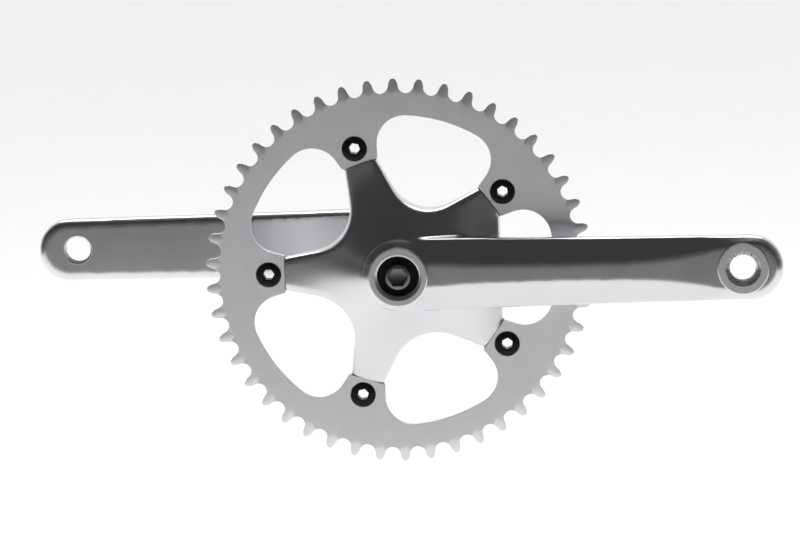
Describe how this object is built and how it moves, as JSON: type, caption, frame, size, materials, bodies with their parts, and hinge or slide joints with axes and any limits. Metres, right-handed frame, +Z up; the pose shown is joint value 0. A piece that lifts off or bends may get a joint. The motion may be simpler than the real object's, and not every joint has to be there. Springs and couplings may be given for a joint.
{
  "type": "bicycle crankset",
  "caption": "Square-taper bicycle crankset: spider crank arm with bolted chainring, plain left arm, and a threaded cartridge bottom bracket with ball bearings.",
  "frame": {"origin": "middle of the spindle, on its axis, halfway between the two faces of the frame shell", "axes": "+X forward along the right crank arm at rest, +Y to the left of the bicycle along the spindle, +Z up; the drive side is at negative Y"},
  "size_m": [0.38, 0.146, 0.1924],
  "materials": {
    "arm_aluminium": "forged, polished and clear anodised",
    "ring_aluminium": "bead blasted and clear anodised",
    "black_steel": "black oxide, satin",
    "washer_steel": "black oxide, matte",
    "spindle_steel": "ground",
    "cartridge_steel": "zinc plated",
    "cup_steel": "nickel plated",
    "bearing_steel": "ground and polished",
    "cage_brass": "machined",
    "seal_rubber": "moulded"
  },
  "bodies": {
    "bottom_bracket": {"cartridge_shell": "cartridge_steel", "right_cup": "cup_steel", "left_cup": "cup_steel", "right_spindle_seal": "seal_rubber", "right_outer_race": "bearing_steel", "right_bearing_outer_seal": "seal_rubber", "right_bearing_inner_seal": "seal_rubber", "left_spindle_seal": "seal_rubber", "left_outer_race": "bearing_steel", "left_bearing_outer_seal": "seal_rubber", "left_bearing_inner_seal": "seal_rubber"},
    "crank": {"right_crank_arm": "arm_aluminium", "left_crank_arm": "arm_aluminium", "chainring": "ring_aluminium", "chainring_bolts": "black_steel", "chainring_nuts": "black_steel", "right_crank_bolt": "black_steel", "left_crank_bolt": "black_steel", "right_crank_washer": "washer_steel", "left_crank_washer": "washer_steel", "spindle": "spindle_steel", "right_inner_race": "bearing_steel", "left_inner_race": "bearing_steel"},
    "right_ball_set": {"right_bearing_balls": "bearing_steel", "right_ball_cage": "cage_brass"},
    "left_ball_set": {"left_bearing_balls": "bearing_steel", "left_ball_cage": "cage_brass"}
  },
  "joints": [
    {"name": "crank_spin", "type": "hinge", "parent": "bottom_bracket", "child": "crank", "pos_m": [0, 0, 0], "axis": [0, 1, 0], "continuous": true},
    {"name": "right_ball_spin", "type": "hinge", "parent": "bottom_bracket", "child": "right_ball_set", "pos_m": [0, -0.0265, 0], "axis": [0, 1, 0], "continuous": true},
    {"name": "left_ball_spin", "type": "hinge", "parent": "bottom_bracket", "child": "left_ball_set", "pos_m": [0, 0.0265, 0], "axis": [0, 1, 0], "continuous": true}
  ],
  "couplings": [
    {"joint": "right_ball_spin", "follows": "crank_spin", "ratio": 0.4156},
    {"joint": "left_ball_spin", "follows": "crank_spin", "ratio": 0.4156}
  ]
}
